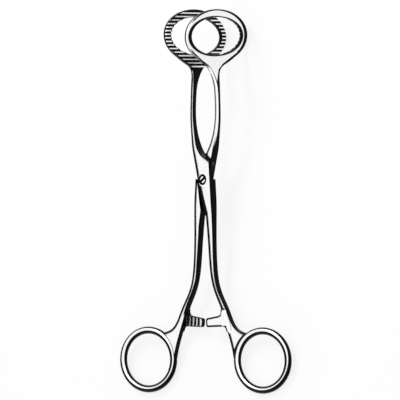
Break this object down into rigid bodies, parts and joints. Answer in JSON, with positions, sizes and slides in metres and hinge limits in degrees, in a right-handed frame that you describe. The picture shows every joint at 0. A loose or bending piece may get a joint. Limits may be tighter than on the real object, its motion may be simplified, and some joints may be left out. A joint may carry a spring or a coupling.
{
  "type": "gallbladder forceps",
  "caption": "Lap-joint surgical forceps with crosswise oval ring jaws, serrated clamping faces, bowed shanks, a toothed ratchet and finger rings.",
  "frame": {"origin": "on the axis of the pivot screw, at the middle of the lap joint's thickness", "axes": "+Y along the instrument towards the jaws, +Z along the pivot screw out of its slotted head, +X the way the threaded half's jaw opens"},
  "size_m": [0.1186, 0.19, 0.0426],
  "materials": {
    "satin_steel": "satin",
    "screw_steel": "polished"
  },
  "bodies": {
    "threaded_half": {"threaded_half": "satin_steel", "pivot_screw": "screw_steel"},
    "screw_side_half": {"screw_side_half": "satin_steel"}
  },
  "joints": [
    {"name": "lap_joint", "type": "hinge", "parent": "threaded_half", "child": "screw_side_half", "pos_m": [0, 0, 0], "axis": [0, 0, 1], "range_deg": [-10, 25]}
  ]
}
